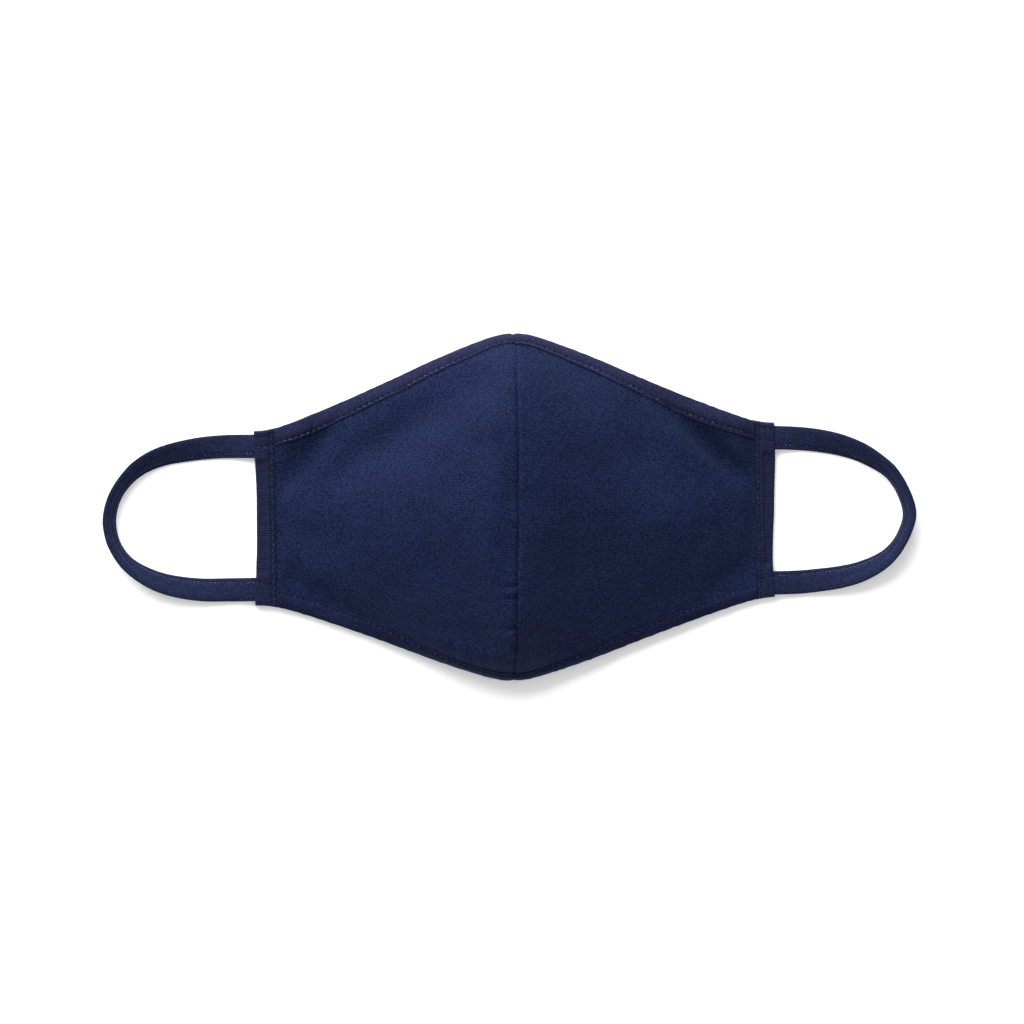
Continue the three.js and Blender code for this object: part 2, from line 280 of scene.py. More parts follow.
def edge_puckers(side, away, y, up):
    """Short wrinkles that run in from the bound edges."""
    low, high = edge_line(away, -1), edge_line(away, 1)
    inside = np.where(up > 0, high - y, y - low)
    waves = ripples(31 + side, away, 0 * y + np.sign(up) * 40, 6.5)
    return edge_pucker * waves * bump_at(inside - 7, 5)


def edge_lift(side, away, y):
    """The rise of the cloth at its lifted edges."""
    total = 0 * away * y
    for lift_side, edge, across, length, rise, start, end in edge_lifts:
        if lift_side == side:
            inside = edge * (edge_line(away, edge) - y)
            span = bump_at(away / half_width - across, length)
            total += rise * span * (1 - ease(inside, start, end))
    return total


def face_height(side, away, y):
    """The height of the middle of the panel's cloth over the table."""
    low, high = edge_line(away, -1), edge_line(away, 1)
    up = np.clip((2 * y - low - high) / (high - low), -1, 1)
    share = np.clip(away / hem_inner, 0, 1)
    crown = crown_height * crown_along(share)
    lift = np.where(up > 0, nose_lift, chin_lift) * (1 - share) ** 1.5
    edge = np.minimum(lift, crown)
    steep = np.where(up > 0, nose_fall, chin_fall)
    fall = side_fall + (steep - side_fall) * (1 - share) ** 4
    dome = edge + (crown - edge) * (1 - np.abs(up) ** fall)
    soft = ease(hem_inner - away, 0, hem_width)
    depth = dent_depth(side, away, y, up)
    room = dome + above_table
    dome -= np.where(depth > 0, room * (1 - np.exp(-depth / room)), depth)
    for seed, height, length in soft_waves:
        dome += soft * height * ripples(seed + side, away, y, length)
    dome += soft * (edge_puckers(side, away, y, up) + edge_lift(side, away, y))
    dome += seam_puckers(side, away, y)
    return hem_middle + dome - seam_depth * bump_at(away, seam_round)


def cloth_frame(side, away, y):
    """Points in the middle of the cloth and the directions square to it."""
    step = 0.2
    here = face_height(side, away, y)
    across = (face_height(side, away + step, y) - here) / step
    inward = np.where(y > 0, -step, step)
    upward = (face_height(side, away, y + inward) - here) / inward
    normal = np.stack([-side * across, -upward, np.ones_like(here)], -1)
    x, y = np.broadcast_arrays(side * away, y)
    middle = np.stack([x, y, here], -1)
    return middle, normal / np.linalg.norm(normal, axis=-1, keepdims=True)


def clear_of_seam(side, points):
    """The points, none of them past the middle of the seam by more than the lap."""
    points[..., 0] = side * np.maximum(side * points[..., 0], -seam_lap)
    return points


def on_cloth(side, away, y, offset):
    """Points at a distance from the middle of the cloth, square to it, in millimetres."""
    middle, normal = cloth_frame(side, away, y)
    return clear_of_seam(side, middle + normal * np.asarray(offset)[..., None])


def grid_faces(columns, rows, start, flip):
    """Square faces over a grid of points that are numbered column by column."""
    corner = start + np.arange(columns - 1)[:, None] * rows + np.arange(rows - 1)
    faces = np.stack([corner, corner + rows, corner + rows + 1, corner + 1], -1).reshape(-1, 4)
    return faces[:, ::-1] if flip else faces


def rim_faces(columns, rows, flip):
    """Faces that close a wall round its border, from its outer grid to its inner one."""
    number = np.arange(columns * rows).reshape(columns, rows)
    border = np.concatenate([number[:-1, 0], number[-1, :-1], number[:0:-1, -1], number[0, :0:-1]])
    after = np.roll(border, -1)
    inner = columns * rows
    faces = np.stack([border, border + inner, after + inner, after], -1)
    return faces[:, ::-1] if flip else faces


def run_along(points):
    """The distance from the first point to each along a line of points."""
    return np.concatenate([[0], np.cumsum(np.linalg.norm(np.diff(points, axis=0), axis=-1))])


def wall(outer, inner, facing=1):
    """A closed wall between two grids of points, with its place on the cloth in metres."""
    columns, rows = outer.shape[:2]
    flip = facing < 0
    faces = [
        grid_faces(columns, rows, 0, flip),
        grid_faces(columns, rows, columns * rows, not flip),
        rim_faces(columns, rows, flip),
    ]
    u = run_along(outer[:, rows // 2]) * MM
    v = run_along(outer[columns // 2]) * MM
    place = np.stack(np.broadcast_arrays(u[:, None], v), -1).reshape(-1, 2)
    points = np.concatenate([outer.reshape(-1, 3), inner.reshape(-1, 3)])
    return points, np.concatenate(faces), np.concatenate([place, place])


def sew_piece(name, parts, cloth, node=None):
    """A smooth piece in the frame, from parts in millimetres about the middle of the seam."""
    starts = np.cumsum([0] + [len(points) for points, _, _ in parts])
    points = np.concatenate([points for points, _, _ in parts])
    away = np.minimum(np.abs(points[:, 0]), hem_inner)
    low, high = edge_line(away, -1), edge_line(away, 1)
    up = (2 * points[:, 1] - low - high) / (high - low)
    points[:, 0] += bow_along(up) * (1 - away / hem_inner) ** 1.5
    points = points * MM + (seam_x, middle_y, 0)
    faces = np.concatenate([faces + start for (_, faces, _), start in zip(parts, starts)])
    places = np.concatenate([places for _, _, places in parts])
    mesh = bpy.data.meshes.new(name)
    mesh.from_pydata(points.tolist(), [], faces.tolist())
    mesh.shade_smooth()
    corners = np.empty(len(mesh.loops), int)
    mesh.loops.foreach_get("vertex_index", corners)
    layer = mesh.uv_layers.new(name="cloth")
    layer.uv.foreach_set("vector", places[corners].astype(np.float32).ravel())
    mesh.materials.append(cloth)
    piece = bpy.data.objects.new(name, mesh)
    bpy.context.scene.collection.objects.link(piece)
    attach(piece, "root")
    if node:
        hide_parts(node)
    return piece


class Wire:
    """A socket of a material's nodes, so that shader maths is written as an expression."""

    def __init__(self, tree, socket=None):
        self.tree = tree
        self.socket = socket

    def node(self, kind, settings, sockets, output=0):
        """A new node of a kind, with its settings and its sockets' values or wires."""
        made = self.tree.nodes.new("ShaderNode" + kind)
        for name, value in settings.items():
            setattr(made, name, value)
        for name, value in sockets.items():
            if isinstance(value, Wire):
                self.tree.links.new(value.socket, made.inputs[name])
            else:
                made.inputs[name].default_value = value
        return Wire(self.tree, made.outputs[output])

    def math(self, operation, *values):
        """A Math node on this wire and others, or on numbers."""
        return self.node("Math", {"operation": operation}, dict(enumerate(values)))

    def __add__(self, other):
        return self.math("ADD", self, other)

    def __mul__(self, other):
        return self.math("MULTIPLY", self, other)

    __radd__ = __add__
    __rmul__ = __mul__

    def wave(self, pitch):
        """A wave between 0 and 1 of a pitch in metres."""
        return self.math("SINE", self * (math.tau / pitch)) * 0.5 + 0.5

    def blend(self, low, high):
        """A colour between two, by this wire's share."""
        sockets = {0: self, 6: low, 7: high}
        return self.node("Mix", {"data_type": "RGBA"}, sockets, output=2)


def jersey(name, deep, light, u_pitch, v_pitch, u_share=0.5, ribbed=0.1, fuzz=0.14):
    """Matt knitted cotton: ribs across and along, uneven dye and a little fuzz."""
    material = bpy.data.materials.new(name)
    material.use_nodes = True
    tree = material.node_tree
    shader = tree.nodes["Principled BSDF"]
    start = Wire(tree)
    place = start.node("UVMap", {"uv_map": "cloth"}, {})
    along = start.node("SeparateXYZ", {}, {"Vector": place})
    across = Wire(tree, along.socket.node.outputs["Y"])
    where = start.node("TexCoord", {}, {}, output="Object")
    drawn = start.node("VectorMath", {"operation": "MULTIPLY"}, {0: where, 1: (0.75, 1.25, 1)})
    cloudy = start.node("TexNoise", {}, {"Vector": where, "Scale": 60.0, "Detail": 2.0})
    mottled = start.node("TexNoise", {}, {"Vector": drawn, "Scale": 1500.0, "Detail": 2.0})
    wander = mottled * (u_pitch * 0.4)
    courses = (along + wander).wave(u_pitch) * u_share
    knit = courses + (across + wander).wave(v_pitch) * (1 - u_share)
    dye = cloudy * 0.1 + mottled * (0.9 - ribbed) + knit * ribbed
    contrast = start.node(
        "MapRange",
        {"interpolation_type": "SMOOTHSTEP"},
        {"Value": dye, "From Min": 0.39, "From Max": 0.61},
    )
    height = knit * 0.35 + mottled * 0.65
    bump = start.node("Bump", {}, {"Height": height, "Strength": 0.6, "Distance": 0.00018})
    tree.links.new(contrast.blend(deep, light).socket, shader.inputs["Base Color"])
    tree.links.new(bump.socket, shader.inputs["Normal"])
    tree.links.new((mottled * 0.1 + 0.86).socket, shader.inputs["Roughness"])
    shader.inputs["Sheen Weight"].default_value = fuzz
    shader.inputs["Sheen Roughness"].default_value = 0.4
    shader.inputs["Sheen Tint"].default_value = (0.4, 0.5, 0.9, 1)
    shader.inputs["Specular IOR Level"].default_value = 0.08
    return material


panel_cloth = jersey(
    "panel_cloth",
    deep=(0.0024, 0.0049, 0.0215, 1),
    light=(0.0098, 0.0166, 0.054, 1),
    u_pitch=0.7 * MM,
    v_pitch=0.9 * MM,
)


def make_panel(side, side_name):
    """One panel, from the seam to the edge that the hem holds."""
    even = np.linspace(0, 1, panel_columns)
    away = ((hem_inner + panel_grip + seam_lap) * (0.7 * even + 0.3 * even**2) - seam_lap)[:, None]
    even = np.linspace(-1, 1, panel_rows)
    share = ((even + np.sin(even * math.pi / 2)) / 2 + 1) / 2
    in_fold = fold_wall + clearance
    low = edge_line(away, -1) + in_fold / edge_cosine(away, -1)
    high = edge_line(away, 1) - in_fold / edge_cosine(away, 1)
    y = low + (high - low) * share
    away = np.broadcast_to(away, y.shape)
    outer = on_cloth(side, away, y, panel_wall / 2)
    inner = on_cloth(side, away, y, -panel_wall / 2)
    parts = [wall(outer, inner, side)]
    name = f"panel_{side_name}"
    panel = sew_piece(f"face_{name}", parts, panel_cloth, name)


sides = ((-1, "left"), (1, "right"))
for side, side_name in sides:
    make_panel(side, side_name)

# The bindings
# Four strips of jersey with their raw edges turned under, folded over the curved edges; the chin
# ones are painted a little darker as shade, since they face away from the light. One row of
# topstitching near the inner edge holds each and sinks into the cloth, and the strip bulges
# between that row and the fold.
binding_leaf = 0.65
binding_gap = 0.06
binding_columns = 340
leaf_rows = 24
under_rows = 9
arc_rows = 8
stitch_pitch = 2.45
groove_depth = 0.48
groove_width = 0.7
bulge_height = 0.3
notch_depth = 0.6
uneven_height = 0.05
# The rows of stitches stop short of the seam and of the hem
sewn_stretch = slice(8, -4)
# Side, edge, width of the leaf from the fold, and distance of the stitches from its inner edge
bindings = [
    (-1, 1, 5.4, 0.9),
    (1, 1, 6.1, 1.4),
    (-1, -1, 5.2, 1),
    (1, -1, 4.2, 0.8),
]
thread_radius = 0.15
stitch_length = 1.4

binding_cloth = jersey(
    "binding_cloth",
    deep=(0.005, 0.0062, 0.021, 1),
    light=(0.015, 0.0175, 0.05, 1),
    u_pitch=0.8 * MM,
    v_pitch=0.8 * MM,
    u_share=0.4,
    ribbed=0.2,
)
# A darker copy of the binding cloth for the chin bindings: its darkness is painted shade, since
# they face away from the light.
shaded_chin_cloth = jersey(
    "shaded_chin_cloth",
    deep=(0.0026, 0.0042, 0.0175, 1),
    light=(0.0088, 0.013, 0.0435, 1),
    u_pitch=0.8 * MM,
    v_pitch=0.8 * MM,
    u_share=0.4,
    ribbed=0.2,
)


def sewing_thread(name, light):
    """Twisted cotton thread, patchy from nearly black to its light colour."""
    material = bpy.data.materials.new(name)
    material.use_nodes = True
    tree = material.node_tree
    shader = tree.nodes["Principled BSDF"]
    start = Wire(tree)
    where = start.node("TexCoord", {}, {}, output="Object")
    uneven = start.node("TexNoise", {}, {"Vector": where, "Scale": 260.0, "Detail": 2.0})
    patchy = start.node("MapRange", {}, {"Value": uneven, "From Min": 0.38, "From Max": 0.62})
    colour = patchy.blend((0.002, 0.003, 0.011, 1), light)
    twist = start.node("TexNoise", {}, {"Vector": where, "Scale": 5000.0})
    bump = start.node("Bump", {}, {"Height": twist, "Strength": 0.4, "Distance": 0.00005})
    tree.links.new(colour.socket, shader.inputs["Base Color"])
    tree.links.new(bump.socket, shader.inputs["Normal"])
    shader.inputs["Roughness"].default_value = 0.6
    shader.inputs["Specular IOR Level"].default_value = 0.15
    return material


pale_thread = sewing_thread("pale_thread", (0.074, 0.1, 0.235, 1))
# A dimmer copy of the pale thread, for the stitches of the chin bindings and of the hems; on the
# chin bindings, which face away from the light, its dimness is painted shade.
dim_shaded_thread = sewing_thread("dim_shaded_thread", (0.032, 0.044, 0.12, 1))


def stitch_row(path, normal, pitch=stitch_pitch, length=stitch_length, slant=0.06, zigzag=0):
    """Short threads along a line on the cloth, arched in the middle and sunk at their ends."""
    rings = 7
    corners = 6
    radius = thread_radius
    run = run_along(path)
    count = max(int(run[-1] / pitch), 1)
    share = np.linspace(-1, 1, rings)
    vary = np.random.default_rng(count).uniform(0.8, 1.1, (count, 1))
    at = ((np.arange(count) + 0.5) * run[-1] / count)[:, None] + share * vary * length / 2
    centre = np.stack([np.interp(at, run, path[:, axis]) for axis in range(3)], -1)
    up = np.stack([np.interp(at, run, normal[:, axis]) for axis in range(3)], -1)
    along = np.gradient(centre, axis=1)
    beside = np.cross(along, up)
    beside /= np.linalg.norm(beside, axis=-1, keepdims=True)
    swing = slant * share + zigzag * (-1.0) ** np.arange(count)[:, None]
    centre += up * radius * (0.6 - 1.7 * share**4)[:, None] + beside * swing[:, :, None]
    turn = np.arange(corners) * math.tau / corners
    thick = radius * np.sqrt(1.04 - share**4)[:, None, None]
    ring = beside[:, :, None] * np.cos(turn)[:, None] + up[:, :, None] * np.sin(turn)[:, None]
    points = (centre[:, :, None] + thick * ring).reshape(-1, 3)
    number = np.arange(rings * corners).reshape(rings, corners)
    beyond = np.roll(number, -1, axis=1)
    sides = np.stack([number[:-1], number[1:], beyond[1:], beyond[:-1]], -1).reshape(-1, 4)
    caps = [[0, 1, 2, 3], [0, 3, 4, 5]]
    ends = np.concatenate([caps, np.array(caps)[:, ::-1] + (rings - 1) * corners])
    one = np.concatenate([sides, ends])
    faces = (one + np.arange(count)[:, None, None] * rings * corners).reshape(-1, 4)
    return points, faces, np.zeros((len(points), 2))


def along_cloth(side, away, edge, start, reach):
    """Plan heights at set distances along the cloth, inwards from a line near its edge."""
    fine = np.linspace(0, reach.max(), 80)
    y = start[:, None] - edge * fine
    rise = np.diff(face_height(side, away[:, None], y), axis=1)
    run = np.cumsum(np.hypot(rise, fine[1]), axis=1)
    run = np.concatenate([np.zeros((len(away), 1)), run], axis=1)
    return np.array([np.interp(*row) for row in zip(reach, run, y)])


def make_binding(side, edge, width, inset, side_name):
    """One folded strip with its stitches, on one side of the seam."""
    half = panel_wall / 2 + binding_gap
    radius = half + binding_leaf
    away = np.linspace(-seam_lap, hem_inner - 0.02, binding_columns)
    cosine = edge_cosine(away, edge)
    start = edge_line(away, edge) - edge * radius / cosine
    middle, normal = cloth_frame(side, away, start)
    outward = np.cross(normal, np.gradient(middle, axis=0))
    outward *= edge * np.sign(outward[:, 1:2]) / np.linalg.norm(outward, axis=-1, keepdims=True)
    run = run_along(middle)[:, None]
    notch = notch_depth * bump_at(away, 0.8)[:, None]

    def leaf(depth, face):
        """One leaf, from its free edge to the fold: its outside and its inside."""
        y = along_cloth(side, away, edge, start, depth / cosine[:, None])
        holes = 0.65 + 0.35 * np.cos(math.tau * run / stitch_pitch)
        groove = groove_depth * bump_at(depth - (width - inset), groove_width) * holes
        bulge = bulge_height * np.sin(math.pi * np.clip(depth / (width - inset), 0, 1))
        uneven = uneven_height * ripples(61 + side + 2 * edge, run, depth * face, 4)
        turned = 0.25 + 0.75 * rounded(width - depth, 0.45)
        offset = half + binding_leaf * turned - groove + bulge + uneven * turned
        outside = on_cloth(side, away[:, None], y, face * offset)
        inside = on_cloth(side, away[:, None], y, face * half)
        return outside, inside

    depth = width * (1 - np.linspace(0, 1, leaf_rows) ** 1.2) + 0 * run
    top, top_inside = leaf(depth, 1)
    depth = width * np.linspace(0, 1, under_rows) + 0 * run
    under, under_inside = leaf(depth, -1)
    turn = np.linspace(0, math.pi, arc_rows + 2)[1:-1]
    round_edge = normal[:, None] * np.cos(turn)[:, None] + outward[:, None] * np.sin(turn)[:, None]
    full = radius + uneven_height * ripples(61 + side + 2 * edge, run, 0, 4) - notch
    fold = clear_of_seam(side, middle[:, None] + round_edge * full[..., None])
    fold_inside = clear_of_seam(side, middle[:, None] + round_edge * half)
    outer = np.concatenate([top, fold, under], axis=1)
    inner = np.concatenate([top_inside, fold_inside, under_inside], axis=1)
    edge_name = "nose" if edge > 0 else "chin"
    name = f"{edge_name}_binding_{side_name}"
    parts = [wall(outer, inner, side * edge)]
    # The chin bindings take the darker copy, whose darkness is painted shade.
    cloth = binding_cloth if edge > 0 else shaded_chin_cloth
    binding = sew_piece(f"folded_{name}", parts, cloth, name)

    rows = []
    for face in (1, -1):
        y = along_cloth(side, away, edge, start, ((width - inset) / cosine)[:, None])[:, 0]
        pulled = 0.22 * (1 - ease(away, 4, 24))[:, None]
        sunk = half + binding_leaf - groove_depth * 0.5 - pulled
        line, square = cloth_frame(side, away, y)
        line = (line + square * face * sunk)[sewn_stretch]
        rows.append(stitch_row(line, (square * face)[sewn_stretch]))
    # On the chin bindings the dimmer thread is painted shade.
    thread = pale_thread if edge > 0 else dim_shaded_thread
    stitches = sew_piece(f"{edge_name}_stitches_{side_name}", rows, thread)


for side, side_name in sides:
    for binding_side, edge, width, inset in bindings:
        if binding_side == side:
            make_binding(side, edge, width, inset, side_name)

# The side hems
# The panels' ends are folded into flat hems of ribbed jersey, which also hold the straps' ends.
# A row of stitches runs down each between two valleys pressed into the cloth, which are painted
# darker with rows of near-black thread as their shade, and the corners are thicker, with tacks
# sewn over the straps.
hem_leaf = 0.65
# How far each hem sinks outside the panel's end, and over what width
hem_sinks = {-1: 0.5, 1: 0.9}
hem_step = 1.6
# How far in from the hem's side the stitches and the two valleys are, and where their rows end.
# The valleys' rows are of near-black thread, painted shade in them.
hem_stitches = 6.5
hem_valleys = (5.75, 7.25)
hem_row = (-36.6, 33.2)
valley_shade_ends = (-36.4, 33)
hem_pitch = 2.2
rim_width = 1
rim_height = 1.3
rim_floor = 0.06
strap_swell = 0.25
row_depth = 0.25
row_width = 0.6
valley_width = 0.4
tack_depth = 0.3
lower_top = 0.6
lower_leaf = 0.58
lower_columns = 8
hem_rows = 330
top_columns = 26
rim_columns = 9
strap_width = 9.4
loop_top = 26
loop_bottom = 31.2
corner_over = 0.15
# Height, and how far the hem's side stands out of a straight one there
left_side = [
    (-37.6, 1.1), (-30, 0.9), (-26.8, 0.65), (-21, 0.45), (-15.6, 0.16), (-4.4, 0),
    (6.8, -0.1), (12.4, 0.02), (18, 0.23), (25, 0.5), (32, 0.52),
]
right_side = [
    (-37.6, -0.5), (-28, -0.85), (-21, -0.95), (-15.6, -0.76), (-10, -0.52), (-4.4, -0.16),
    (1.2, 0), (6.8, 0.21), (12.4, 0.48), (18, 0.7), (25, 0.5), (32, 0.4),
]
# Rows of tacks on the hems: side, and distance from the seam and height of both ends
tacks = [
    (-1, 96.2, 26.3, 103.4, 24.9),
    (-1, 97.2, 30, 102.6, 29.1),
    (1, 96.2, 25.7, 102.6, 24.3),
    (1, 97.4, 30.2, 102.6, 29),
    (-1, 96.2, -30.3, 102.9, -28.2),
    (-1, 102.4, -30.8, 102.3, -36.4),
    (1, 96.2, -31.1, 101.7, -29.8),
    (1, 101, -31.4, 101, -36.4),
]

# Near-black thread laid along the hems' valleys: painted shade for them.
valley_shade_thread = sewing_thread("valley_shade_thread", (0.0045, 0.006, 0.02, 1))
hem_cloth = jersey(
    "hem_cloth",
    deep=(0.0042, 0.0062, 0.0192, 1),
    light=(0.0117, 0.0166, 0.0475, 1),
    u_pitch=0.8 * MM,
    v_pitch=0.95 * MM,
    u_share=0.1,
    ribbed=0.3,
)


def strap_share(y):
    """1 where a strap lies inside the hem, and 0 away from it."""
    half = strap_width / 2
    top = ease(np.abs(y - loop_top), half + 3, half)
    return top + ease(np.abs(y + loop_bottom), half + 3, half)


def tack_distance(row, away, y):
    """The distance from points on a hem to a row of tacks."""
    _, start_away, start_y, end_away, end_y = row
    long = np.hypot(end_away - start_away, end_y - start_y)
    dx, dy = (end_away - start_away) / long, (end_y - start_y) / long
    along = np.clip((away - start_away) * dx + (y - start_y) * dy, 0, long)
    return np.hypot(away - start_away - along * dx, y - start_y - along * dy)


def hem_top(side, away, y):
    """The height of a hem's upper face."""
    panel_end = hem_inner + panel_grip
    past_panel = ease(away, panel_end, panel_end + hem_step)
    straps = strap_share(y)
    height = hem_middle + panel_wall / 2 + binding_gap + hem_leaf
    height = height - hem_sinks[side] * past_panel * (1 - straps)
    height = height + strap_swell * straps * past_panel
    height = height + 0.06 * ripples(71 + side, away, y, 5)
    holes = 0.8 + 0.4 * np.cos(math.tau * (y - hem_row[0]) / hem_pitch)
    height = height - row_depth * holes * bump_at(half_width - hem_stitches - away, row_width)
    for valley in hem_valleys:
        height = height - groove_depth * bump_at(half_width - valley - away, valley_width)
    for row in tacks:
        if row[0] == side:
            height = height - tack_depth * bump_at(tack_distance(row, away, y), groove_width)
    return height


def make_hem(side, side_name):
    """One hem: a ribbed upper leaf with its rolled side, a lower leaf, and their stitches."""
    share = np.linspace(0, 1, hem_rows)
    level = -side_bottom + (side_top + side_bottom) * share
    side_edge = half_width + smooth(left_side if side < 0 else right_side)(level)
    straps = strap_share(level)
    thick_end = hem_top(side, side_edge - rim_width, level)
    rim_end = rim_floor + (thick_end - hem_leaf - rim_floor) * straps
    rim_drop = np.minimum(rim_height, thick_end - rim_end)

    across = (np.linspace(0, 1, top_columns) ** 1.15)[:, None]
    top_away = hem_inner + (side_edge - rim_width - hem_inner) * across
    turn = np.linspace(0, math.pi / 2, rim_columns)[1:, None]

    def skin(inset):
        """The outside of the upper leaf, or its inside at the leaf's thickness in."""
        rim_away = side_edge - rim_width + (rim_width - inset) * np.sin(turn)
        last_away = (side_edge - inset)[None]
        away = np.concatenate([top_away, rim_away, last_away])
        low = edge_line(away, -1) - corner_over
        high = edge_line(away, 1) + corner_over
        y = low + (high - low) * share
        edge_thick = inset * (0.25 + 0.75 * rounded(top_away - hem_inner, 0.4))
        turned = hem_leaf * (0.75 - 0.75 * rounded(top_away - hem_inner, 0.4))
        top = hem_top(side, top_away, y[:top_columns]) - (edge_thick if inset else turned)
        drop = np.maximum(rim_drop - inset, 0.02)
        rim = thick_end - inset - drop * (1 - np.cos(turn))
        z = np.concatenate([top, rim, rim_end[None]])
        ends = rounded(np.minimum(y - low, high - y) - inset, 0.9)
        floor = 0.35 if inset == 0 else 0.05
        z = floor + (z - floor) * ends
        return np.stack([side * away, y, z], -1)

    upper = wall(skin(0), skin(hem_leaf), side)

    away = np.linspace(hem_inner + 0.4, half_width - rim_width, lower_columns)[:, None]
    away = away + 0 * share[::8]
    low = edge_line(away, -1) + 0.5
    y = low + (edge_line(away, 1) - 0.5 - low) * share[::8]
    upper_face = np.stack([side * away, y, 0 * y + lower_top], -1)
    lower_face = upper_face - (0, 0, lower_leaf)
    lower = wall(upper_face, lower_face, side)
    name = f"side_hem_{side_name}"
    hem = sew_piece(f"folded_{name}", [upper, lower], hem_cloth, name)

    row_away = half_width - hem_stitches
    lines = [(side, row_away, hem_row[0], row_away, hem_row[1])]
    lines += [row for row in tacks if row[0] == side]
    rows = []
    t = np.linspace(0, 1, 90)
    upright = np.tile([0.0, 0, 1], (len(t), 1))
    for _, start_away, start_y, end_away, end_y in lines:
        away = start_away + (end_away - start_away) * t
        y = start_y + (end_y - start_y) * t
        line = np.stack([side * away, y, hem_top(side, away, y)], -1)
        rows.append(stitch_row(line, upright, hem_pitch, length=1.3, slant=0.3, zigzag=0.28))
    stitches = sew_piece(f"hem_stitches_{side_name}", rows, dim_shaded_thread)

    # Rows of near-black thread down the two valleys: painted shade in them.
    rows = []
    y = np.linspace(*valley_shade_ends, 120)
    upright = np.tile([0.0, 0, 1], (len(y), 1))
    for valley in hem_valleys:
        away = np.full(len(y), half_width - valley)
        line = np.stack([side * away, y, hem_top(side, away, y)], -1)
        rows.append(stitch_row(line, upright, hem_pitch, length=2, slant=0.12, zigzag=0.1))
    valley_shade = sew_piece(f"hem_valley_shade_{side_name}", rows, valley_shade_thread)


for side, side_name in sides:
    make_hem(side, side_name)

# The ear loops
# Each is a flat tube of folded jersey, ribbed across, with one row of stitches along its inner
# edge. Its ends are caught in the hem, and round the bend it rolls up onto its inner edge.
strap_thickness = 1.8
strap_fullness = 1.3
strap_tilt = 62
left_reach = 58.6
right_reach = 53.7
strap_settle = 12
strap_above = 0.1
strap_inset = 1.7
strap_crease = 0.4
crease_across = 0.9
crease_width = 0.8
loop_pitch = 1.75
strap_columns = 430
strap_rows = 25

# The middle line from the upper end to the lower one: out is a share of the loop's reach, and up
# a share of the way from the lower end's height to the upper end's.
left_route = [
    (0, 1), (0.25, 1), (0.45, 0.98), (0.65, 0.935),
    (0.79, 0.865), (0.89, 0.77), (0.965, 0.65), (1, 0.5),
    (0.98, 0.36), (0.935, 0.265), (0.865, 0.18), (0.73, 0.09),
    (0.6, 0.04), (0.4, 0.005), (0.2, 0), (0, 0),
]
right_route = [
    (0, 1), (0.2, 0.99), (0.35, 0.972), (0.5, 0.94),
    (0.65, 0.886), (0.79, 0.805), (0.87, 0.74), (0.955, 0.61),
    (1, 0.45), (0.95, 0.3), (0.87, 0.19), (0.78, 0.12),
    (0.63, 0.053), (0.48, 0.018), (0.33, 0), (0.18, -0.012),
    (0, -0.015),
]
# Along the strap and share of its full tilt
roll = [
    (0, 0),
    (0.14, 0.2),
    (0.28, 0.62),
    (0.4, 0.97),
    (0.5, 1),
    (0.6, 0.97),
    (0.72, 0.55),
    (0.86, 0.15),
    (1, 0),
]
roll_along = smooth(roll)

strap_cloth = jersey(
    "strap_cloth",
    deep=(0.005, 0.0072, 0.0235, 1),
    light=(0.014, 0.0198, 0.056, 1),
    u_pitch=1 * MM,
    v_pitch=0.9 * MM,
    u_share=0.35,
    ribbed=0.22,
)


def rounded_line(points, count):
    """Evenly spaced points on a smooth line through a few."""
    points = np.array(points, float)
    held = np.vstack([2 * points[0] - points[1], points, 2 * points[-1] - points[-2]])
    gap = np.sqrt(np.linalg.norm(np.diff(held, axis=0), axis=1))[:, None]
    before, here, there, after = held[:-3], held[1:-2], held[2:-1], held[3:]
    step = (there - here) / gap[1:-1]
    start = (here - before) / gap[:-2] - (there - before) / (gap[:-2] + gap[1:-1]) + step
    end = step - (after - here) / (gap[1:-1] + gap[2:]) + (after - there) / gap[2:]
    start, end = start * gap[1:-1], end * gap[1:-1]
    t = np.linspace(0, 1, 40, endpoint=False)[:, None, None]
    bend = -3 * here + 3 * there - 2 * start - end
    turn = 2 * here - 2 * there + start + end
    line = here + t * (start + t * (bend + t * turn))
    line = np.vstack([line.swapaxes(0, 1).reshape(-1, 2), points[-1:]])
    run = run_along(line)
    at = np.linspace(0, run[-1], count)
    return np.stack([np.interp(at, run, line[:, axis]) for axis in range(2)], -1)


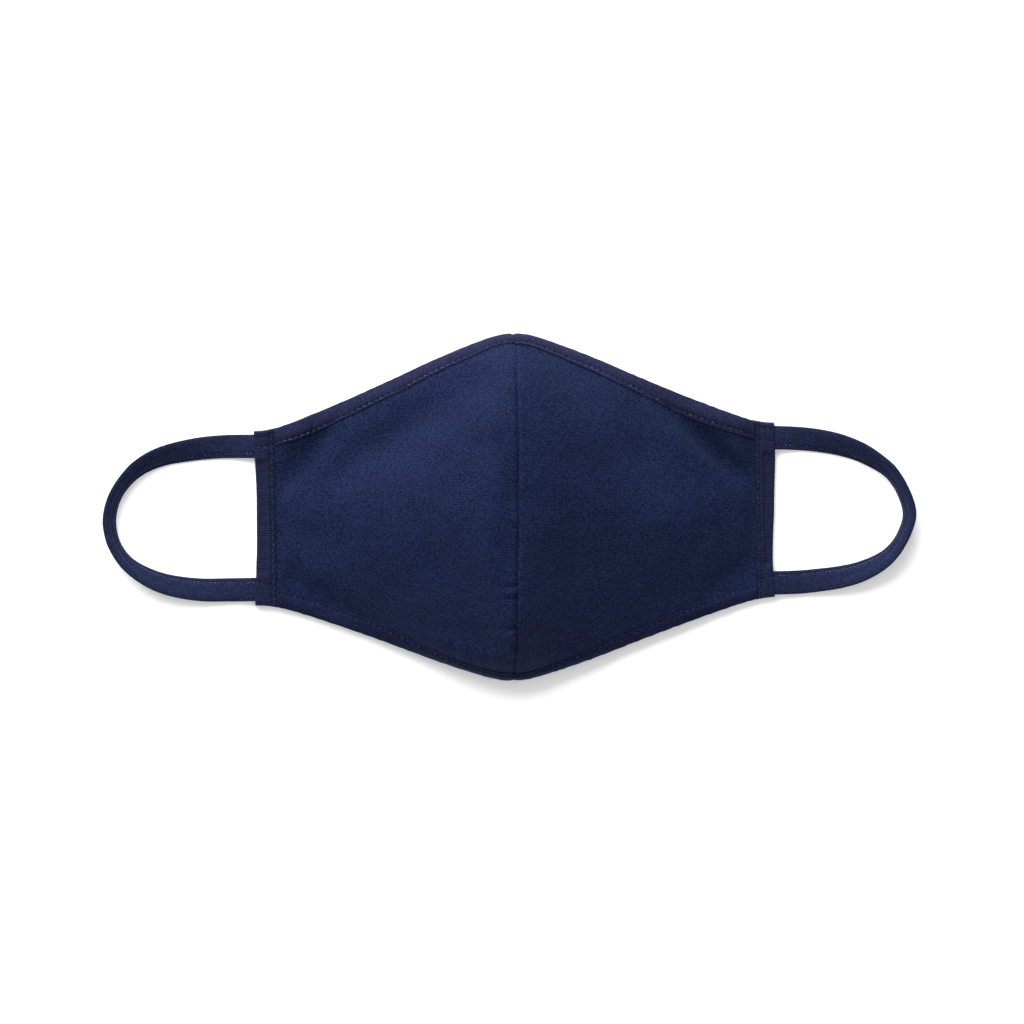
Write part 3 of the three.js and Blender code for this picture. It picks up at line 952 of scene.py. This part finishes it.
def make_loop(side, side_name):
    """One strap along its route, flat in the hem and rolled up round the bend."""
    route = left_route if side < 0 else right_route
    reach = left_reach if side < 0 else right_reach
    hidden = hem_inner + panel_grip + clearance
    out, up = np.array([(0, route[0][1]), *route, (0, route[-1][1])]).T
    away = half_width + out * reach
    away[[0, -1]] = hidden
    places = np.stack([side * away, -loop_bottom + (loop_top + loop_bottom) * up], -1)
    line = rounded_line(places, strap_columns)
    along = np.linspace(0, 1, strap_columns)
    loose = ease(np.abs(line[:, 0]) - half_width, 0, strap_settle)
    tilt = math.radians(strap_tilt) * loose * roll_along(along)

    up = np.array([0, 0, 1.0])
    centre = np.column_stack([line, np.full(strap_columns, hem_middle)])
    tangent = np.gradient(centre, axis=0)
    tangent /= np.linalg.norm(tangent, axis=1, keepdims=True)
    outward = np.cross(tangent, up) * -side
    wide = outward * np.cos(tilt)[:, None] + up * np.sin(tilt)[:, None]
    thick = up * np.cos(tilt)[:, None] - outward * np.sin(tilt)[:, None]

    half = strap_width / 2
    across = -half * np.cos(np.linspace(0, math.pi, strap_rows))
    run = run_along(centre)[:, None]
    rolled = tilt[:, None] / math.radians(strap_tilt)
    power = 2.6 - 0.6 * rolled
    shape = (1 - np.abs(across / half) ** power) ** (1 / power)
    body = ease(across, strap_inset - half, strap_inset - half + 1.4)
    full = strap_thickness + strap_fullness * rolled * body
    holes = 0.7 + 0.3 * np.cos(math.tau * run / loop_pitch)
    sewn_depth = 0.35 + 0.4 * rolled
    groove = sewn_depth * bump_at(across + half - strap_inset, 0.5) * holes
    groove = groove + strap_crease * rolled * bump_at(across - crease_across, crease_width)
    uneven = uneven_height * ripples(81 + side, run, across, 5) * shape
    rise = 0.05 + full / 2 * shape - groove + uneven
    flat = centre[:, None] + wide[:, None] * across[:, None]
    top = flat + thick[:, None] * rise[..., None]
    under = flat - thick[:, None] * rise[..., None]
    lowest = np.minimum(top, under)[..., 2].min(1)
    drop = (lowest - strap_above) * loose
    for grid in (top, under):
        grid[..., 2] -= drop[:, None]
    name = f"ear_loop_{side_name}"
    sew_piece(f"soft_{name}", [wall(top, under, -side)], strap_cloth, name)

    seam = int(np.argmin(np.abs(across + half - strap_inset)))
    shown = np.abs(line[:, 0]) > half_width + 0.6
    rows = []
    for grid, face in ((top, 1), (under, -1)):
        rows.append(stitch_row(grid[shown, seam], face * thick[shown], loop_pitch, length=1.05))
    sew_piece(f"loop_stitches_{side_name}", rows, pale_thread)


for side, side_name in sides:
    make_loop(side, side_name)

# The table
# A plain white surface under one large soft light that stands beyond the nose edge, so that a
# faint shadow falls past the chin edge, with pale light from all round.
floor_half = 3
floor_mesh = bpy.data.meshes.new("table")
floor_mesh.from_pydata(
    [(x * floor_half, y * floor_half, 0) for x, y in ((-1, -1), (1, -1), (1, 1), (-1, 1))],
    [],
    [(0, 1, 2, 3)],
)
table = bpy.data.objects.new("table", floor_mesh)
bpy.context.scene.collection.objects.link(table)
white = bpy.data.materials.new("table_white")
white.use_nodes = True
table_shader = white.node_tree.nodes["Principled BSDF"]
table_shader.inputs["Base Color"].default_value = (0.95, 0.95, 0.95, 1)
table_shader.inputs["Roughness"].default_value = 0.8
table_shader.inputs["Emission Color"].default_value = (1, 1, 1, 1)
table_shader.inputs["Emission Strength"].default_value = 0.2
table.data.materials.append(white)


def softbox(name, place, size, power):
    """A square light that faces the middle of the table."""
    light = bpy.data.lights.new(name, "AREA")
    light.size = size
    light.energy = power
    lamp = bpy.data.objects.new(name, light)
    lamp.location = place
    towards = -lamp.location
    lamp.rotation_euler = towards.to_track_quat("-Z", "Y").to_euler()
    bpy.context.scene.collection.objects.link(lamp)


softbox("key", (-0.6, 1.5, 0.95), 1.9, 84)
world = bpy.data.worlds.new("studio")
world.use_nodes = True
world.node_tree.nodes["Background"].inputs["Color"].default_value = (1, 1, 1, 1)
world.node_tree.nodes["Background"].inputs["Strength"].default_value = 0.62
bpy.context.scene.world = world
bpy.context.scene.view_settings.view_transform = "Standard"
